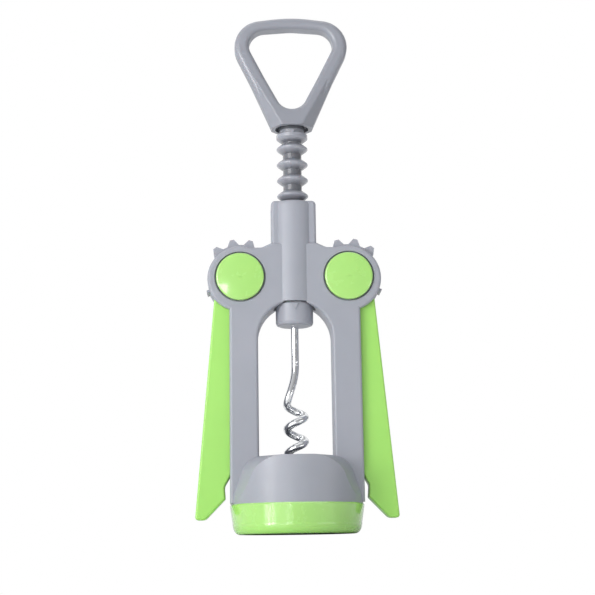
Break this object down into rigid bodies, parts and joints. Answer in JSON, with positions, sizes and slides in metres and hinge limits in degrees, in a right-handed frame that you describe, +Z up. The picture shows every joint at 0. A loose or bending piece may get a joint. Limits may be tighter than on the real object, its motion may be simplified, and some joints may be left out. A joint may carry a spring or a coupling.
{
  "type": "lever corkscrew",
  "caption": "Wing corkscrew: two geared levers drive a ringed rack that carries a wire worm through a bell that sits on a bottle's neck.",
  "frame": {"origin": "centre of the underside of the foot ring", "axes": "+Z up along the worm's axis, -Y towards the front, levers in the XZ plane"},
  "size_m": [0.071, 0.047, 0.1888],
  "materials": {
    "grey_plastic": "satin moulded grey",
    "green_plastic": "glossy lime green",
    "liner_plastic": "matte light grey",
    "washer_plastic": "matte natural",
    "steel": "turned",
    "chrome_wire": "bright plated"
  },
  "bodies": {
    "frame": {"front_shell": "grey_plastic", "rear_shell": "grey_plastic", "base_ring": "green_plastic", "neck_sleeve": "liner_plastic", "left_pivot_pin": "steel", "right_pivot_pin": "steel", "left_front_cap": "green_plastic", "left_rear_cap": "green_plastic", "right_front_cap": "green_plastic", "right_rear_cap": "green_plastic"},
    "rack": {"rack_sleeve": "grey_plastic"},
    "screw": {"handle": "grey_plastic", "handle_pin": "steel", "spindle": "steel", "upper_thrust_washer": "washer_plastic", "lower_thrust_washer": "washer_plastic", "worm_collar": "grey_plastic", "collar_pin": "steel", "worm": "chrome_wire"},
    "left_lever": {"left_lever_gear": "grey_plastic", "left_lever_arm": "green_plastic", "left_arm_rivet": "steel", "left_pivot_bush": "washer_plastic"},
    "right_lever": {"right_lever_gear": "grey_plastic", "right_lever_arm": "green_plastic", "right_arm_rivet": "steel", "right_pivot_bush": "washer_plastic"}
  },
  "joints": [
    {"name": "right_lever_hinge", "type": "hinge", "parent": "frame", "child": "right_lever", "pos_m": [0.01935, 0, 0.0904], "axis": [0, -1, 0], "range_deg": [0, 120]},
    {"name": "left_lever_hinge", "type": "hinge", "parent": "frame", "child": "left_lever", "pos_m": [-0.01935, 0, 0.0904], "axis": [0, 1, 0], "range_deg": [0, 120]},
    {"name": "rack_slide", "type": "slide", "parent": "frame", "child": "rack", "axis": [0, 0, 1], "range_m": [-0.0256, 0]},
    {"name": "handle_turn", "type": "hinge", "parent": "rack", "child": "screw", "pos_m": [0, 0, 0.15], "axis": [0, 0, 1], "continuous": true}
  ],
  "couplings": [
    {"joint": "left_lever_hinge", "follows": "right_lever_hinge", "ratio": 1},
    {"joint": "rack_slide", "follows": "right_lever_hinge", "m_per_rad": -0.0122}
  ]
}
